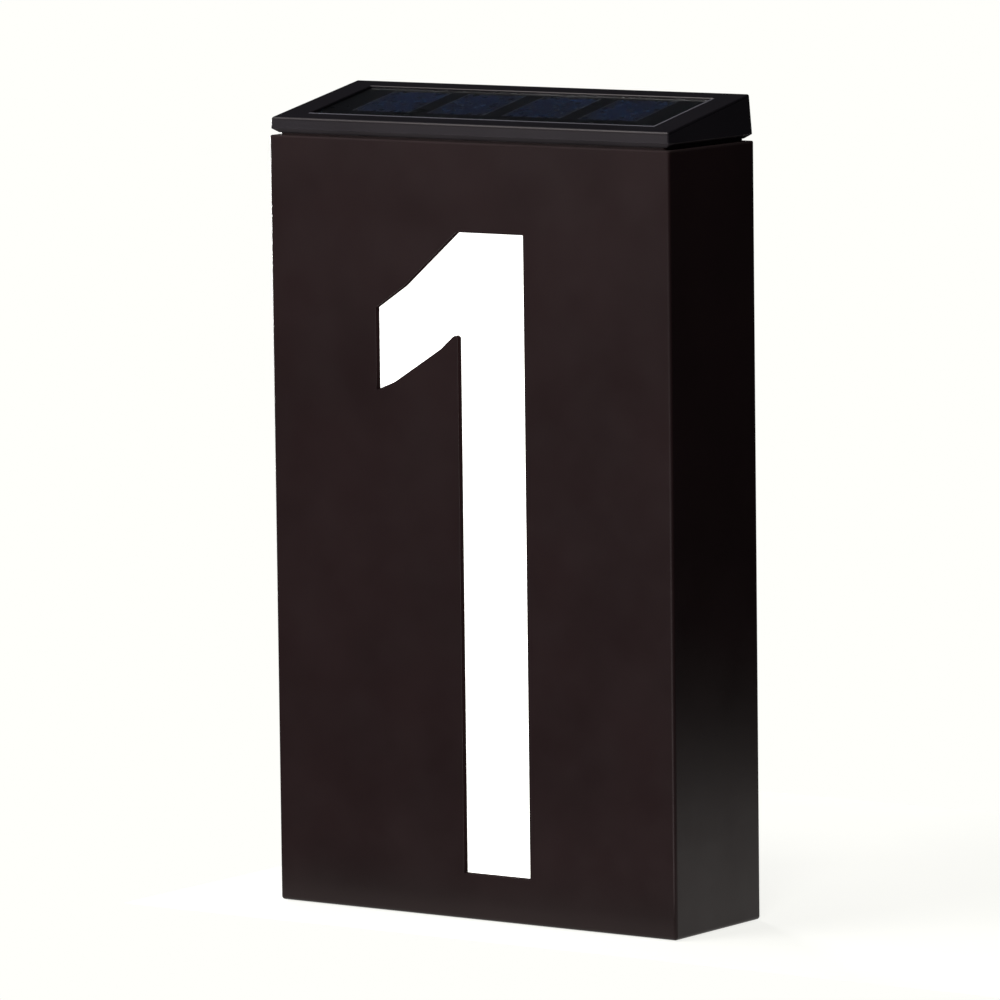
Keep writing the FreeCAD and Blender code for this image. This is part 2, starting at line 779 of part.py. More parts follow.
def busbars():
    """Two silver strips on each cell, along its long edges."""
    top = panel_levels()[3]
    start, end = cell_span()
    strips = []
    for middle in cell_middles():
        for side in (-1, 1):
            x = middle + side * (cell_width / 2 - busbar_width)
            strips.append(on_slope(box(x - busbar_width / 2, x + busbar_width / 2, start, end,
                                       top - busbar_thickness, top)))
    return Part.makeCompound(strips)


def panel_tape():
    layer = panel_layer(panel_levels()[0], tape_thickness, panel_play + 0.6)
    for x in panel_lead_places():
        layer = layer.cut(on_slope(box(x - lead_diameter, x + lead_diameter,
                                       panel_lead_v() - lead_diameter,
                                       panel_lead_v() + lead_diameter, -recess_floor - 1, 0)))
    return layer


def panel_encapsulant():
    """Black film level with the cells, with a window for each one."""
    level = panel_levels()[2]
    film = panel_layer(level, cell_thickness)
    for middle in cell_middles():
        film = film.cut(on_slope(cell_blank(middle, 0.05, level - 0.1, cell_thickness + 0.2)))
    return film


# ---------------------------------------------------------------- base plate
def battery_box_places():
    """Inner x limits of the battery box: the positive contact is at the low end."""
    return -box_inner_length / 2, box_inner_length / 2


def hinge_ear_places():
    return (-hinge_ear_spacing / 2, hinge_ear_spacing / 2)


def board_hole_places():
    x = board_length / 2 - board_hole_inset
    y = board_width / 2 - board_hole_inset
    return mirror_x([(x, -y), (x, y)])


def switch_screw_places():
    return [switch_x - switch_screw_pitch / 2, switch_x + switch_screw_pitch / 2]


def led_screw_places():
    x = led_board_length / 2 - small_screw_head / 2
    return (-x, x)


def lead_ports():
    """Where leads pass through the base plate: battery plus, battery minus, LED plus, minus."""
    x0, x1 = battery_box_places()
    port_y = battery_y + battery_radius * 0.55
    inward = contact_thickness + lead_diameter / 2
    led_y = led_board_y + led_board_width / 2 - lead_diameter
    return {"battery_red": (x0 + inward, port_y), "battery_black": (x1 - inward, port_y),
            "led_red": (-led_lead_x, led_y), "led_black": (led_lead_x, led_y)}


def head_base():
    """Plate that closes the head from below, with the battery box hanging under it."""
    plate_w = neck_w - neck_wall + rebate - base_clearance
    plate_d = neck_d - neck_wall + rebate - base_clearance
    plate = box(-plate_w, plate_w, -plate_d, plate_d, seat_z, base_top)
    y0, y1 = battery_y - box_half_y, battery_y + box_half_y
    walls = box(-box_half_x, box_half_x, y0, y1, door_top, seat_z)
    x0, x1 = battery_box_places()
    cavity = box(x0, x1, y0 + box_wall, y1 - box_wall, door_top - 1, seat_z)
    base = together(plate, walls.cut(cavity))
    for x in hinge_ear_places():
        half = hinge_ear_width / 2
        ear = together(
            cylinder(hinge_barrel, vec(x - half, hinge_y, hinge_z), vec(x + half, hinge_y, hinge_z)),
            box(x - half, x + half, hinge_y - hinge_barrel / 2, y0, hinge_z,
                hinge_z + hinge_barrel))
        ear = ear.cut(cylinder(hinge_pin_diameter + 2 * hinge_clearance,
                               vec(x - half - 1, hinge_y, hinge_z),
                               vec(x + half + 1, hinge_y, hinge_z)))
        base = together(base, ear)
    posts = [cylinder(standoff_diameter, vec(x, y, base_top), vec(x, y, board_z))
             for x, y in board_hole_places()]
    base = together(base, snap_ridge(y1), *posts)
    for x, y in board_hole_places():
        base = base.cut(cylinder(small_screw_shank, vec(x, y, base_top - board_pilot_depth),
                                 vec(x, y, board_z + 1)))
    for x, y in head_boss_places():
        base = base.cut(screw_hole(small_screw_shank, vec(x, y, seat_z - 1),
                                   vec(x, y, base_top + 1)))
    base = base.cut(lever_slot(0.0, seat_z - 1, base_top + 1))
    for x in switch_screw_places():
        base = base.cut(cylinder(small_screw_shank, vec(x, switch_y, seat_z - 1),
                                 vec(x, switch_y, base_top + 1)))
    for x in led_screw_places():
        base = base.cut(cylinder(small_screw_shank, vec(x, led_board_y, seat_z - 1),
                                 vec(x, led_board_y, base_top + 1)))
    for x, y in lead_ports().values():
        base = base.cut(cylinder(lead_diameter + 2 * lead_hole_play, vec(x, y, seat_z - 1),
                                 vec(x, y, base_top + 1)))
    return base


def snap_ridge(wall_y):
    """Wedge on the back of the battery box that the door's nose hooks over."""
    low = door_top + snap_ridge_rise
    high = low + snap_ridge_height
    half = snap_width / 2
    profile = [vec(-half, wall_y - 0.2, low), vec(-half, wall_y, low),
               vec(-half, wall_y + snap_ridge_reach, high - 0.4),
               vec(-half, wall_y + snap_ridge_reach, high), vec(-half, wall_y - 0.2, high)]
    return Part.Face(Part.makePolygon(profile + profile[:1])).extrude(vec(snap_width, 0, 0))


def base_gasket():
    outer_w = neck_w - neck_wall + rebate - base_clearance
    outer_d = neck_d - neck_wall + rebate - base_clearance
    top = base_top + base_gasket_thickness
    ring = flat_ring(outer_w, outer_d, neck_w - neck_wall, neck_d - neck_wall, base_top, top)
    for x, y in head_boss_places():
        ring = ring.cut(cylinder(boss_diameter + 2 * stack_gap, vec(x, y, base_top - 1),
                                 vec(x, y, top + 1)))
    return ring


def head_screws():
    return Part.makeCompound([pan_screw(vec(x, y, seat_z), vec(0, 0, 1),
                                        base_thickness + head_screw_bite)
                              for x, y in head_boss_places()])


# ---------------------------------------------------------------- battery
def battery():
    x0, _ = battery_box_places()
    start = x0 + contact_thickness
    body_start = start + battery_button_height
    body = cylinder(battery_diameter, vec(body_start, battery_y, battery_z),
                    vec(body_start + battery_length, battery_y, battery_z))
    body = body.makeFillet(0.6, body.Edges[:1] + body.Edges[2:])
    button = cylinder(battery_button_diameter, vec(start, battery_y, battery_z),
                      vec(body_start, battery_y, battery_z))
    return together(body, button)


def contact_plate(x0):
    """Nickel plate with a narrow tab that its lead is soldered to."""
    half = contact_width / 2
    x1 = x0 + contact_thickness
    _, port_y = lead_ports()["battery_red"]
    plate = box(x0, x1, battery_y - half, battery_y + half, battery_z - half, battery_z + half)
    tab = box(x0, x1, port_y - lead_diameter, port_y + lead_diameter, battery_z,
              seat_z - tab_gap)
    return together(plate, tab)


def spring_path():
    """Arcs of a quarter turn on a cone that narrows towards the battery."""
    _, x1 = battery_box_places()
    base_x = x1 - contact_thickness - spring_wire / 2
    tip_x = x1 - spring_room + spring_wire / 2
    rise = (tip_x - base_x) / spring_turns
    centre_radius = (spring_outer - spring_wire) / 2
    tip_radius = (spring_inner - spring_wire) / 2

    def point(turn):
        share = turn / spring_turns
        radius = centre_radius + (tip_radius - centre_radius) * share
        angle = 2 * math.pi * turn
        return vec(base_x + rise * turn, battery_y + radius * math.cos(angle),
                   battery_z + radius * math.sin(angle))

    quarter = 0.25
    arcs = [Part.Arc(point(i * quarter), point((i + 0.5) * quarter), point((i + 1) * quarter))
            for i in range(int(spring_turns / quarter))]
    return Part.Wire([arc.toShape() for arc in arcs]), point


def battery_spring():
    """Conical spring in one unbroken wire on its own contact plate."""
    path, point = spring_path()
    first = path.Edges[0]
    tangent = first.tangentAt(first.FirstParameter)
    section = Part.Wire(Part.makeCircle(spring_wire / 2, point(0), tangent))
    wire = path.makePipeShell([section], True, False)
    samples = [point(i / 40) for i in range(40 * spring_turns + 1)]
    gap = min(a.distanceToPoint(b) for i, a in enumerate(samples)
              for b in samples[i + 20:]) - spring_wire
    print("spring's least gap to itself: %.2f mm" % gap)
    return wire


def snap_arm_piece(wall_y, plate_top):
    """Springy arm on the door's back edge: nose at the top, finger tab at the foot."""
    half = snap_width / 2
    inner = wall_y + snap_gap + snap_nose_reach
    nose_low = door_top + snap_ridge_rise + snap_ridge_height + snap_lift
    top = nose_low + 1.0
    foot = box(-half, half, wall_y - 0.5, inner + snap_arm, door_bottom, plate_top)
    arm = box(-half, half, inner, inner + snap_arm, door_bottom, top)
    nose = box(-half, half, wall_y + snap_gap, inner, nose_low, top)
    tab = box(-half, half, inner, inner + snap_arm + snap_tab_reach, door_bottom, plate_top)
    return together(foot, arm, nose, tab)


def battery_door():
    """Swings down on two moulded pins at its front edge and snaps shut at its back edge."""
    y0, y1 = battery_y - box_half_y, battery_y + box_half_y
    plate_top = door_top - door_gap / 2
    ear_half = hinge_ear_width / 2
    inner = hinge_ear_spacing / 2 - ear_half - door_gap
    pin_end = hinge_ear_spacing / 2 + ear_half
    plate = box(-box_half_x, box_half_x, y0, y1, door_bottom, plate_top)
    bridge = box(-inner, inner, hinge_y, y0, door_bottom, plate_top)
    barrel = cylinder(hinge_barrel, vec(-inner, hinge_y, hinge_z), vec(inner, hinge_y, hinge_z))
    pins = cylinder(hinge_pin_diameter, vec(-pin_end, hinge_y, hinge_z),
                    vec(pin_end, hinge_y, hinge_z))
    swing = math.radians(door_angle_max)
    reach = hinge_barrel / 2 + hinge_offset - heel_play
    heel_rise = (reach + heel_back * math.cos(swing)) / math.sin(swing)
    heel = box(-heel_length / 2, heel_length / 2, hinge_y - hinge_barrel / 2,
               hinge_y - heel_back, hinge_z, hinge_z + heel_rise)
    return together(plate, bridge, barrel, pins, heel, snap_arm_piece(y1, plate_top))


# ---------------------------------------------------------------- boards and leads
def control_board():
    board = box(-board_length / 2, board_length / 2, -board_width / 2, board_width / 2,
                board_z, board_top)
    for x, y in board_hole_places():
        board = board.cut(screw_hole(small_screw_shank, vec(x, y, board_z - 1),
                                     vec(x, y, board_top + 1)))
    return board


def board_screws():
    return Part.makeCompound([pan_screw(vec(x, y, board_top), vec(0, 0, -1),
                                        board_thickness + board_standoff)
                              for x, y in board_hole_places()])


def driver_chip():
    """Eight-legged charge and drive chip."""
    x, y = chip_place
    bottom = board_top + chip_standoff
    body = box(x - chip_length / 2, x + chip_length / 2, y - chip_width / 2, y + chip_width / 2,
               bottom, bottom + chip_height)
    first = x - 1.5 * chip_leg_pitch
    reach = chip_width / 2 + chip_leg_reach
    legs = []
    for index in range(4):
        middle = first + index * chip_leg_pitch
        legs.append(box(middle - chip_leg_width / 2, middle + chip_leg_width / 2, y - reach,
                        y + reach, board_top, board_top + chip_leg_thickness))
    return together(body, *legs)


def boost_inductor():
    """Drum core with its winding between two flanges."""
    x, y = inductor_place
    low = board_top + inductor_flange
    high = low + inductor_winding
    lower = cylinder(inductor_diameter, vec(x, y, board_top), vec(x, y, low))
    drum = cylinder(inductor_drum, vec(x, y, low), vec(x, y, high))
    upper = cylinder(inductor_diameter, vec(x, y, high), vec(x, y, high + inductor_flange))
    return together(lower, drum, upper)


def board_parts():
    """Two resistors, a capacitor and a diode, as small blocks half as tall as they are wide."""
    blocks = []
    for size, places in ((resistor_size, resistor_places), (capacitor_size, capacitor_places)):
        long, wide = size
        for x, y in places:
            blocks.append(box(x - long / 2, x + long / 2, y - wide / 2, y + wide / 2,
                              board_top, board_top + wide / 2))
    return Part.makeCompound(blocks)


def led_board():
    strip = box(-led_board_length / 2, led_board_length / 2,
                led_board_y - led_board_width / 2, led_board_y + led_board_width / 2,
                seat_z - led_board_thickness, seat_z)
    for x in led_screw_places():
        strip = strip.cut(screw_hole(small_screw_shank, vec(x, led_board_y, seat_z - 3),
                                     vec(x, led_board_y, seat_z + 1)))
    return strip


def leds():
    """White chip LEDs that shine down into the guide's top edge."""
    top = seat_z - led_board_thickness
    first = -(led_count - 1) * led_pitch / 2
    bodies = []
    for index in range(led_count):
        x = first + index * led_pitch
        body = box(x - led_length / 2, x + led_length / 2, led_board_y - led_width / 2,
                   led_board_y + led_width / 2, top - led_height, top)
        well = cone(2.2, 1.6, vec(x, led_board_y, top - led_height),
                    vec(x, led_board_y, top - led_height + 0.3))
        bodies.append(body.cut(well))
    return Part.makeCompound(bodies)


def led_screws():
    seat = seat_z - led_board_thickness
    return Part.makeCompound([pan_screw(vec(x, led_board_y, seat), vec(0, 0, 1),
                                        led_board_thickness + base_thickness)
                              for x in led_screw_places()])


def lead(points):
    """Round wire along straight runs joined by tangent arcs as large as the runs allow."""
    edges = []
    start = points[0]
    radii = []
    for before, corner, after in zip(points, points[1:], points[2:]):
        back = before.sub(corner)
        ahead = after.sub(corner)
        shorter = min(back.Length, ahead.Length)
        turn = math.pi - back.getAngle(ahead)
        set_back = 0.45 * shorter
        radii.append(set_back / math.tan(turn / 2))
        back.normalize()
        ahead.normalize()
        arc_start = corner + back * set_back
        arc_end = corner + ahead * set_back
        inward = (back + ahead).normalize()
        centre = corner + inward * (radii[-1] / math.cos(turn / 2))
        middle = centre - inward * radii[-1]
        edges.append(Part.LineSegment(start, arc_start).toShape())
        edges.append(Part.Arc(arc_start, middle, arc_end).toShape())
        start = arc_end
    edges.append(Part.LineSegment(start, points[-1]).toShape())
    path = Part.Wire(edges)
    section = Part.Wire(Part.makeCircle(lead_diameter / 2, points[0],
                                        points[1].sub(points[0])))
    tube = path.makePipeShell([section], True, False)
    expected = path.Length * math.pi * lead_diameter ** 2 / 4
    print("lead: length %.1f, radii %s, volume ratio %.3f" % (
        path.Length, " ".join("%.1f" % r for r in radii), tube.Volume / expected))
    return tube


def slope_point(x, up, height):
    """A point given on the slope, in the part's own frame."""
    tilt = FreeCAD.Rotation(vec(1, 0, 0), slope_angle)
    return vec(0, head_front_y, head_front_z) + tilt.multVec(vec(x, up, height))


def leads():
    """Insulated leads by name, each from one soldered end to the other."""
    ports = lead_ports()
    found = {}
    high = board_top + lead_rise
    tilt_room = lead_diameter / 2 * slope_tan + 0.02
    pad_x = board_length / 2 - panel_pad_inset
    for name, x, land_x in (("red", panel_lead_places()[0], panel_pad_shift - pad_x),
                            ("black", panel_lead_places()[1], panel_pad_shift + pad_x)):
        start = slope_point(x, panel_lead_v(), panel_levels()[1] - tilt_room)
        land_y = panel_pad_y
        found["panel_lead_" + name] = lead([
            start, vec(start.x, start.y, high + 0.6),
            vec((start.x + land_x) / 2, (start.y + land_y) / 2 + 1.0, high),
            vec(land_x, land_y, high - 0.4), vec(land_x, land_y, board_top)])
    for name, side in (("red", -1), ("black", 1)):
        x, y = ports["battery_" + name]
        land_x, land_y = side * (board_length / 2 - battery_pad_inset), battery_pad_y
        found["battery_lead_" + name] = lead([
            vec(x, y, seat_z - tab_solder_drop), vec(x, y, high - 0.6),
            vec(land_x, land_y, high - 1.0), vec(land_x, land_y, board_top)])
        x, y = ports["led_" + name]
        land_x, land_y = side * led_pad_x, led_pad_y
        found["led_lead_" + name] = lead([
            vec(x, y, seat_z), vec(x, y, high - 1.6),
            vec(land_x, land_y, high - 1.4), vec(land_x, land_y, board_top)])
    return found


# ---------------------------------------------------------------- switch
def switch_body():
    """Moulded switch block with a hollow for the slider's foot."""
    bottom = base_top + switch_frame_thickness
    block = box(switch_x - switch_length / 2, switch_x + switch_length / 2,
                switch_y - switch_width / 2, switch_y + switch_width / 2,
                bottom, bottom + switch_height)
    return block.cut(lever_slot(foot_ledge, bottom - 1, bottom + foot_height + 2 * foot_rise))


def lever_slot(wider, low, high):
    """Room for the lever's travel, wider all round where the slider's foot runs."""
    half_x = lever_length / 2 + switch_travel / 2 + switch_play + wider
    half_y = lever_width / 2 + switch_play + wider
    return box(switch_x - half_x, switch_x + half_x, switch_y - half_y, switch_y + half_y,
               low, high)


def switch_frame():
    """Steel plate that straps the switch block to the base plate."""
    half = switch_frame_length / 2
    plate = box(switch_x - half, switch_x + half, switch_y - switch_width / 2,
                switch_y + switch_width / 2, base_top, base_top + switch_frame_thickness)
    plate = plate.cut(lever_slot(0.0, base_top - 1, base_top + 1))
    for x in switch_screw_places():
        plate = plate.cut(cylinder(small_screw_shank, vec(x, switch_y, base_top - 1),
                                   vec(x, switch_y, base_top + 1)))
    return plate


def switch_screws():
    seat = base_top + switch_frame_thickness
    return Part.makeCompound([pan_screw(vec(x, switch_y, seat), vec(0, 0, -1),
                                        switch_frame_thickness + base_thickness)
                              for x in switch_screw_places()])


def switch_slider():
    """Lever below the base plate and foot in the switch block, at the lit end of its travel."""
    middle = switch_x - switch_travel / 2
    half = lever_length / 2
    foot_low = base_top + switch_frame_thickness + foot_rise
    foot = box(middle - half - foot_ledge, middle + half + foot_ledge,
               switch_y - lever_width / 2 - foot_ledge, switch_y + lever_width / 2 + foot_ledge,
               foot_low, foot_low + foot_height)
    lever = box(middle - half, middle + half, switch_y - lever_width / 2,
                switch_y + lever_width / 2, seat_z - lever_below_base, foot_low)
    ridges = [box(middle - 0.9 + i * 0.8, middle - 0.5 + i * 0.8, switch_y - lever_width / 2,
                  switch_y + lever_width / 2, seat_z - lever_below_base - 0.3,
                  seat_z - lever_below_base) for i in range(3)]
    return together(foot, lever, *ridges)


# ---------------------------------------------------------------- write everything
def build():
    os.makedirs("parts", exist_ok=True)
    diffuser_front = -inner_d + stack_gap
    _, backsheet, _, glass = panel_levels()
    nodes = {
        "housing": housing(),
        "diffuser": sheet(diffuser_front, diffuser_thickness, stack_top),
        "light_guide": light_guide(),
        "reflector_sheet": sheet(reflector_front, reflector_thickness, stack_top),
        "light_tray": light_tray(),
        "light_tray_screws": tray_screws(),
        "back_cover": back_cover(),
        "back_cover_gasket": back_gasket(),
        "back_cover_screws": back_screws(),
        "head_cover": head_cover(),
        "neck_seal": neck_seal(),
        "panel_tape": panel_tape(),
        "panel_backsheet": panel_layer(backsheet, backsheet_thickness),
        "panel_encapsulant": panel_encapsulant(),
        "cell_busbars": busbars(),
        "panel_glass": panel_layer(glass, glass_thickness),
        "head_base": head_base(),
        "base_gasket": base_gasket(),
        "head_screws": head_screws(),
        "battery": battery(),
        "battery_contact": contact_plate(battery_box_places()[0]),
        "battery_spring": battery_spring(),
        "battery_spring_plate": contact_plate(battery_box_places()[1] - contact_thickness),
        "battery_door": battery_door(),
        "control_board": control_board(),
        "control_board_screws": board_screws(),
        "driver_chip": driver_chip(),
        "boost_inductor": boost_inductor(),
        "board_components": board_parts(),
        "led_board": led_board(),
        "led_board_screws": led_screws(),
        "leds": leds(),
        "switch_body": switch_body(),
        "switch_frame": switch_frame(),
        "switch_screws": switch_screws(),
        "switch_slider": switch_slider(),
    }
    for index, middle in enumerate(cell_middles(), start=1):
        nodes["solar_cell_%d" % index] = solar_cell(middle)
    nodes.update(leads())
    for name, shape in nodes.items():
        save(name, shape)
    print(len(nodes), "nodes")


build()
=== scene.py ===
import json
import math

import bmesh
import bpy
from mathutils import Matrix, Vector

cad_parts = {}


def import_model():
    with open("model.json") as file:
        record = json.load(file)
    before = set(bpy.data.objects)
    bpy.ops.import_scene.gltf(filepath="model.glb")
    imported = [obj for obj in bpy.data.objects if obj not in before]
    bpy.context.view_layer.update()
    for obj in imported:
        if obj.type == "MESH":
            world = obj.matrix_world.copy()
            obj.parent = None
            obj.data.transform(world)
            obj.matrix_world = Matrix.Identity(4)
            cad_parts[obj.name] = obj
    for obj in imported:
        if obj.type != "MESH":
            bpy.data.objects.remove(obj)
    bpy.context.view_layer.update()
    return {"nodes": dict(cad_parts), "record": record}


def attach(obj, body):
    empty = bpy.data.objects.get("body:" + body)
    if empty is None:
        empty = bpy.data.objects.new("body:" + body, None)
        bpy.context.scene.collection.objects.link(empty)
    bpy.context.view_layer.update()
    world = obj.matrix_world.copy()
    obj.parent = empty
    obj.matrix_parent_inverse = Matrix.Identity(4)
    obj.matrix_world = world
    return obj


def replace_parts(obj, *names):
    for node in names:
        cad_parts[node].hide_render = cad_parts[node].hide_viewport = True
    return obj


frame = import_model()

# Illuminated house number sign on a pale floor.  Metres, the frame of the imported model:
# +Z up, the numeral faces -Y.

MM = 0.001


# ---------------------------------------------------------------- materials
def math_node(tree, operation, first, second=None):
    """A math node whose inputs are numbers or the outputs of other nodes."""
    node = tree.nodes.new("ShaderNodeMath")
    node.operation = operation
    for socket, value in zip(node.inputs, (first, second)):
        if isinstance(value, (int, float)):
            socket.default_value = value
        elif value is not None:
            tree.links.new(value, socket)
    return node.outputs[0]


class Nodes:
    """A new material with short ways to add and join its nodes."""

    def __init__(self, name):
        self.material = bpy.data.materials.new(name)
        self.material.use_nodes = True
        self.tree = self.material.node_tree
        self.shader = self.tree.nodes["Principled BSDF"]
        self.place = self.add("ShaderNodeTexCoord").outputs["Object"]

    def add(self, kind, **values):
        node = self.tree.nodes.new(kind)
        for key, value in values.items():
            setattr(node, key, value)
        return node

    def join(self, source, target):
        self.tree.links.new(source, target)

    def noise(self, scale, detail=2.0, stretch=None):
        node = self.add("ShaderNodeTexNoise")
        node.inputs["Scale"].default_value = scale
        node.inputs["Detail"].default_value = detail
        place = self.stretched(stretch) if stretch else self.place
        self.join(place, node.inputs["Vector"])
        return node.outputs["Fac"]

    def stretched(self, scale):
        """The object's coordinates, each axis scaled by itself."""
        node = self.add("ShaderNodeMapping")
        node.inputs["Scale"].default_value = scale
        self.join(self.place, node.inputs["Vector"])
        return node.outputs["Vector"]

    def spread(self, source, low, high, from_low=0.3, from_high=0.7):
        """Maps a texture's value to low..high."""
        node = self.add("ShaderNodeMapRange")
        node.inputs["From Min"].default_value = from_low
        node.inputs["From Max"].default_value = from_high
        node.inputs["To Min"].default_value = low
        node.inputs["To Max"].default_value = high
        self.join(source, node.inputs["Value"])
        return node.outputs["Result"]

    def between(self, source, first, second, start=0.35, end=0.65):
        """Maps a texture's value to a colour between two."""
        node = self.add("ShaderNodeValToRGB")
        first_stop, second_stop = node.color_ramp.elements
        first_stop.position, second_stop.position = start, end
        first_stop.color = (*first, 1)
        second_stop.color = (*second, 1)
        self.join(source, node.inputs["Fac"])
        return node.outputs["Color"]

    def math(self, operation, first, second=None):
        return math_node(self.tree, operation, first, second)

    def axes(self, place=None):
        node = self.add("ShaderNodeSeparateXYZ")
        self.join(place or self.place, node.inputs[0])
        return node.outputs["X"], node.outputs["Y"], node.outputs["Z"]

    def inside(self, limits):
        """One where each source lies between its two limits, else nought."""
        mask = 1.0
        for source, (low, high) in limits:
            within = self.math("MULTIPLY", self.math("GREATER_THAN", source, low),
                               self.math("LESS_THAN", source, high))
            mask = self.math("MULTIPLY", within, mask)
        return mask

    def blend(self, mask, below, above):
        """One colour where the mask is 0, another where it is 1."""
        node = self.add("ShaderNodeMix", data_type="RGBA")
        self.join(mask, node.inputs["Factor"])
        for socket, colour in (("A", below), ("B", above)):
            if isinstance(colour, tuple):
                node.inputs[socket].default_value = (*colour, 1)
            else:
                self.join(colour, node.inputs[socket])
        return node.outputs["Result"]

    def bump(self, height, distance):
        node = self.add("ShaderNodeBump")
        node.inputs["Distance"].default_value = distance
        self.join(height, node.inputs["Height"])
        self.join(node.outputs["Normal"], self.shader.inputs["Normal"])

    def set(self, **values):
        """Constants on the shader's own sockets, with _ for a space in their names."""
        for key, value in values.items():
            self.shader.inputs[key.replace("_", " ")].default_value = value


MOTTLE_SCALE = 38       # clouds of colour, about 26 mm wide
GLOSS_SCALE = 90        # patches of gloss, about 11 mm wide
GLOSS_CHANGE = 0.03


def shade(colour, factor):
    """The colour times a factor, no part of it over 1."""
    return tuple(min(1.0, part * factor) for part in colour)


def moulded_nodes(name, colour, roughness, grain, depth, mottle, sheen):
    """Nodes of a moulded plastic; depth is the grain's, in millimetres."""
    m = Nodes(name)
    m.set(Specular_IOR_Level=sheen)
    m.cloud = m.noise(MOTTLE_SCALE, 3)
    m.colour = m.between(m.cloud, shade(colour, 1 - mottle), shade(colour, 1 + mottle))
    m.join(m.colour, m.shader.inputs["Base Color"])
    m.gloss = m.spread(m.noise(GLOSS_SCALE, 2), roughness - GLOSS_CHANGE,
                       roughness + GLOSS_CHANGE)
    m.join(m.gloss, m.shader.inputs["Roughness"])
    m.bump(m.noise(grain, 1), depth * MM)
    return m


def moulded(name, colour, roughness=0.4, grain=2600, depth=0.012, mottle=0.12, sheen=0.5):
    """Moulded plastic: fine spark-eroded grain, slight mottling of colour and gloss."""
    return moulded_nodes(name, colour, roughness, grain, depth, mottle, sheen).material


# Places on the case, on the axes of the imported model.
FRONT_FACE = -17.5 * MM
CUT_FACES = (FRONT_FACE + 0.05 * MM, FRONT_FACE + 1.55 * MM)
NUMERAL_ACROSS = (-30.0 * MM, 20.0 * MM)
NUMERAL_UP = (8.0 * MM, 162.0 * MM)
RIM_EDGE = (179.5 * MM, 180.1 * MM)     # rounded upper edge of the box
HEAD_FOOT = 180.5 * MM
UNDERCUT_TOP = 181.62 * MM
SLOPE_TAN = math.tan(math.radians(11.0))
SLOPE_LEVEL = 186.8 * MM                # just under the sloped face, carried down to y = 0
SLOPE_FRONT = -16.4 * MM                # the sloped face behind its rounded front edge
LIP_HIGHLIGHT_ACROSS = (-48.1 * MM, 48.9 * MM)    # painted highlight along the edge of the solar panel's recess
LIP_HIGHLIGHT_ALONG = (-12.85 * MM, 11.9 * MM)
LIP_HIGHLIGHT_LEVEL = 187.2 * MM
ABOVE_ALL = 1.0                         # higher and farther back than any part of the sign

BODY = (0.0107, 0.0054, 0.0057)
HEAD = (0.0104, 0.0091, 0.0113)
# painted shade: the sloped face of the head is made darker than the rest of it
SLOPE_PAINTED_SHADE = tuple(0.68 * part for part in HEAD)
# painted light: the undercut below the head's front is made much lighter than the head
UNDERCUT_PAINTED_LIGHT = (0.050, 0.044, 0.048)
# painted highlight: a pale line along the lip of the solar panel's recess
LIP_PAINTED_HIGHLIGHT = (0.105, 0.102, 0.118)
CASE_MOTTLE = 0.10
CASE_ROUGHNESS = 0.38
CASE_SHEEN = 0.24
CASE_TINT = (1.0, 0.88, 0.87, 1.0)
SLOPE_POLISH = 0.2      # how much smoother the sloped face is
RIM_MATTING = 0.5       # how much rougher the box's upper edge is


def case_tone_and_painted_light(m, across, along, height, slope):
    """Red brown box, greyer head; painted light on the undercut, painted shade on the sloped
    face, painted highlight on the lip.
    """
    lip_highlight = ((across, LIP_HIGHLIGHT_ACROSS), (along, LIP_HIGHLIGHT_ALONG), (slope, (LIP_HIGHLIGHT_LEVEL, ABOVE_ALL)))
    tone = m.colour
    # Painted light on the undercut, painted shade on the sloped face, painted highlight on the
    # lip.
    for mask, colour in ((m.math("GREATER_THAN", height, HEAD_FOOT), UNDERCUT_PAINTED_LIGHT),
                         (m.math("GREATER_THAN", height, UNDERCUT_TOP), HEAD),
                         (m.math("GREATER_THAN", slope, SLOPE_LEVEL), SLOPE_PAINTED_SHADE),
                         (m.inside(lip_highlight), LIP_PAINTED_HIGHLIGHT)):
        mottled = m.between(m.cloud, shade(colour, 1 - CASE_MOTTLE),
                            shade(colour, 1 + CASE_MOTTLE))
        tone = m.blend(mask, tone, mottled)
    return tone


def case_roughness(m, along, height, slope):
    """Satin case with a smoother sloped face and a matt upper edge of the box."""
    polished = m.inside(((slope, (SLOPE_LEVEL, ABOVE_ALL)), (along, (SLOPE_FRONT, ABOVE_ALL))))
    matt = m.inside(((height, RIM_EDGE),))
    smoother = m.math("SUBTRACT", m.gloss, m.math("MULTIPLY", polished, SLOPE_POLISH))
    return m.math("ADD", m.math("MULTIPLY", matt, RIM_MATTING), smoother)


def case_plastic(name):
    """The case's plastic, with no shine on the cut faces of the numeral."""
    m = moulded_nodes(name, BODY, CASE_ROUGHNESS, grain=2600, depth=0.010,
                      mottle=CASE_MOTTLE, sheen=CASE_SHEEN)
    m.set(Specular_Tint=CASE_TINT)
    across, along, height = m.axes()
    slope = m.math("SUBTRACT", height, m.math("MULTIPLY", along, SLOPE_TAN))
    m.join(case_tone_and_painted_light(m, across, along, height, slope), m.shader.inputs["Base Color"])
    m.join(case_roughness(m, along, height, slope), m.shader.inputs["Roughness"])
    cut = m.inside(((along, CUT_FACES), (across, NUMERAL_ACROSS), (height, NUMERAL_UP)))
    m.join(m.spread(cut, CASE_SHEEN, 0.0, 0.0, 1.0), m.shader.inputs["Specular IOR Level"])
    return m.material


def metal(name, colour, roughness=0.28, along=(1, 1, 14), depth=0.006):
    """Plated steel with faint drawn lines."""
    m = Nodes(name)
    m.set(Metallic=1.0)
    lines = m.noise(600, 2, stretch=along)
    m.join(m.between(m.noise(220, 2), shade(colour, 0.82), shade(colour, 1.08)),
           m.shader.inputs["Base Color"])
    m.join(m.spread(lines, roughness - 0.06, roughness + 0.08), m.shader.inputs["Roughness"])
    m.bump(lines, depth * MM)
    return m.material


